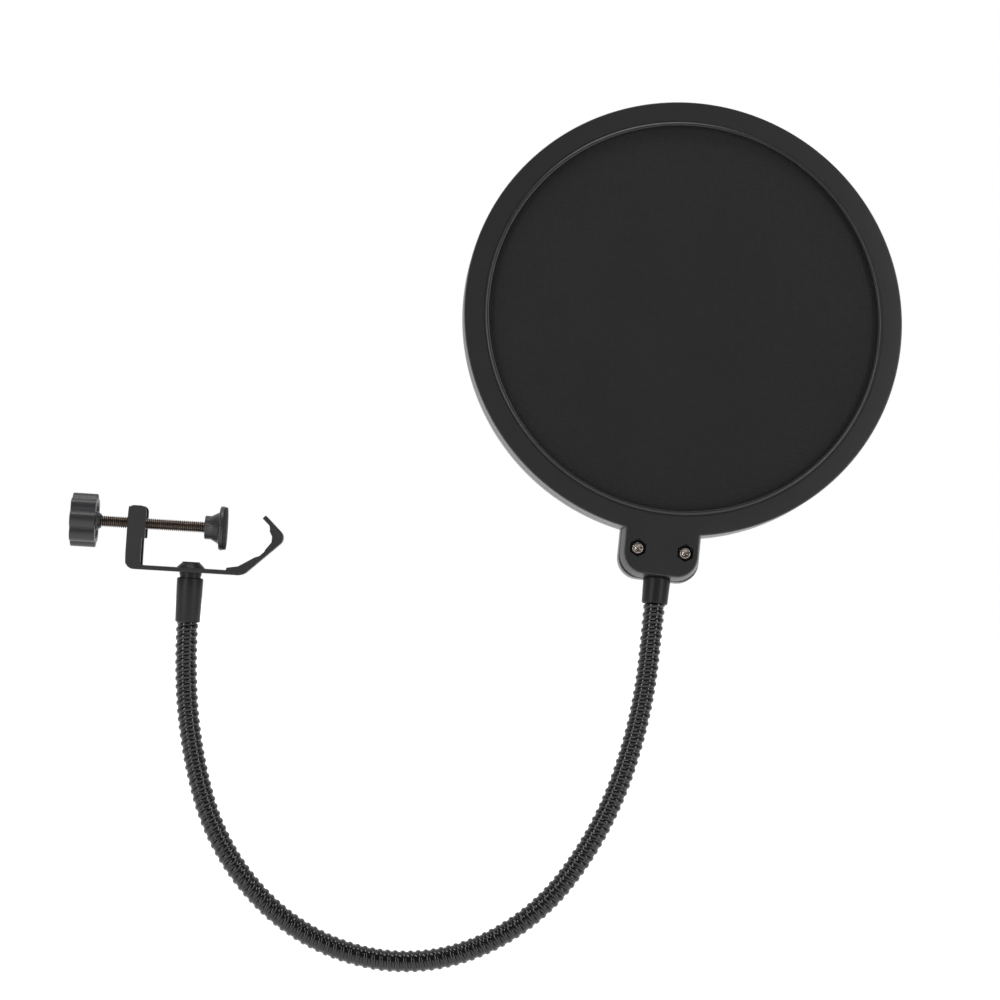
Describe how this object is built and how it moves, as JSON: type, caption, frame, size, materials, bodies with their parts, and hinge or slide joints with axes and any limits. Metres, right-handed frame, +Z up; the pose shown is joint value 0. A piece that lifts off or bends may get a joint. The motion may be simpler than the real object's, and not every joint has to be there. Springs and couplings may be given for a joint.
{
  "type": "pop filter",
  "caption": "Round double-screen pop filter on a bendable gooseneck, with a V-jaw screw clamp that grips a microphone stand's tube.",
  "frame": {"origin": "centre of the round tube that the clamp grips at rest", "axes": "+X from the pressure pad towards the V jaw, along the clamp screw; +Y through the disc from its front to its back, away from whoever sings; +Z up"},
  "size_m": [0.2865, 0.0345, 0.3116],
  "materials": {
    "bracket_steel": "satin",
    "blackened_steel": "satin",
    "screw_steel": "satin",
    "knob_plastic": "satin",
    "facing_rubber": "matte",
    "clip_steel": "satin",
    "sleeve_plastic": "satin",
    "gooseneck_steel": "gloss",
    "shell_plastic": "satin",
    "screen_nylon": "matte",
    "nickel_steel": "satin"
  },
  "bodies": {
    "clamp": {"clamp_bracket": "bracket_steel", "clinch_nut": "blackened_steel"},
    "pad": {"pressure_pad": "knob_plastic", "pad_facing": "facing_rubber"},
    "screw": {"clamp_screw": "screw_steel", "clamp_knob": "knob_plastic", "pad_clip": "clip_steel"},
    "neck": {"neck_stud": "blackened_steel", "neck_washer": "blackened_steel", "neck_nut": "blackened_steel", "lower_sleeve": "sleeve_plastic", "gooseneck_link_1": "gooseneck_steel"},
    "link_2": {"gooseneck_link_2": "gooseneck_steel"},
    "link_3": {"gooseneck_link_3": "gooseneck_steel"},
    "link_4": {"gooseneck_link_4": "gooseneck_steel"},
    "link_5": {"gooseneck_link_5": "gooseneck_steel"},
    "link_6": {"gooseneck_link_6": "gooseneck_steel"},
    "link_7": {"gooseneck_link_7": "gooseneck_steel"},
    "link_8": {"gooseneck_link_8": "gooseneck_steel"},
    "head": {"gooseneck_link_9": "gooseneck_steel", "upper_ferrule": "blackened_steel", "front_shell": "shell_plastic", "rear_shell": "shell_plastic", "front_screen": "screen_nylon", "rear_screen": "screen_nylon", "spacer_ring": "shell_plastic", "tab_screws": "nickel_steel", "tab_nuts": "nickel_steel"}
  },
  "joints": [
    {"name": "screw_feed", "type": "slide", "parent": "clamp", "child": "pad", "axis": [1, 0, 0], "range_m": [-0.02031, 0.00841]},
    {"name": "screw_turn", "type": "hinge", "parent": "pad", "child": "screw", "pos_m": [-0.0151, 0, 0.0021], "axis": [1, 0, 0], "range_deg": [-10440, 4320]},
    {"name": "neck_swivel", "type": "hinge", "parent": "clamp", "child": "neck", "pos_m": [-0.019, 0, -0.0137], "axis": [0, 0, 1], "continuous": true},
    {"name": "base_sway", "type": "hinge", "parent": "neck", "child": "link_2", "pos_m": [-0.01812, 0, -0.05102], "axis": [0.9962, 0, 0.0872], "range_deg": [-30, 30]},
    {"name": "bend_2", "type": "hinge", "parent": "link_2", "child": "link_3", "pos_m": [-0.00972, 0, -0.09054], "axis": [0, -1, 0], "range_deg": [-35, 6]},
    {"name": "bend_3", "type": "hinge", "parent": "link_3", "child": "link_4", "pos_m": [0.01212, 0, -0.12417], "axis": [0, -1, 0], "range_deg": [-35, 6]},
    {"name": "bend_4", "type": "hinge", "parent": "link_4", "child": "link_5", "pos_m": [0.04774, 0, -0.14232], "axis": [0, -1, 0], "range_deg": [-35, 6]},
    {"name": "bend_5", "type": "hinge", "parent": "link_5", "child": "link_6", "pos_m": [0.08728, 0, -0.13746], "axis": [0, -1, 0], "range_deg": [-35, 6]},
    {"name": "bend_6", "type": "hinge", "parent": "link_6", "child": "link_7", "pos_m": [0.1177, 0, -0.11148], "axis": [0, -1, 0], "range_deg": [-35, 6]},
    {"name": "bend_7", "type": "hinge", "parent": "link_7", "child": "link_8", "pos_m": [0.13475, 0, -0.07493], "axis": [0, -1, 0], "range_deg": [-35, 6]},
    {"name": "head_sway", "type": "hinge", "parent": "link_8", "child": "head", "pos_m": [0.14142, 0, -0.03507], "axis": [-0.9986, 0, 0.0523], "range_deg": [-30, 30]}
  ],
  "couplings": [
    {"joint": "screw_feed", "follows": "screw_turn", "m_per_rad": 0.00011141}
  ]
}
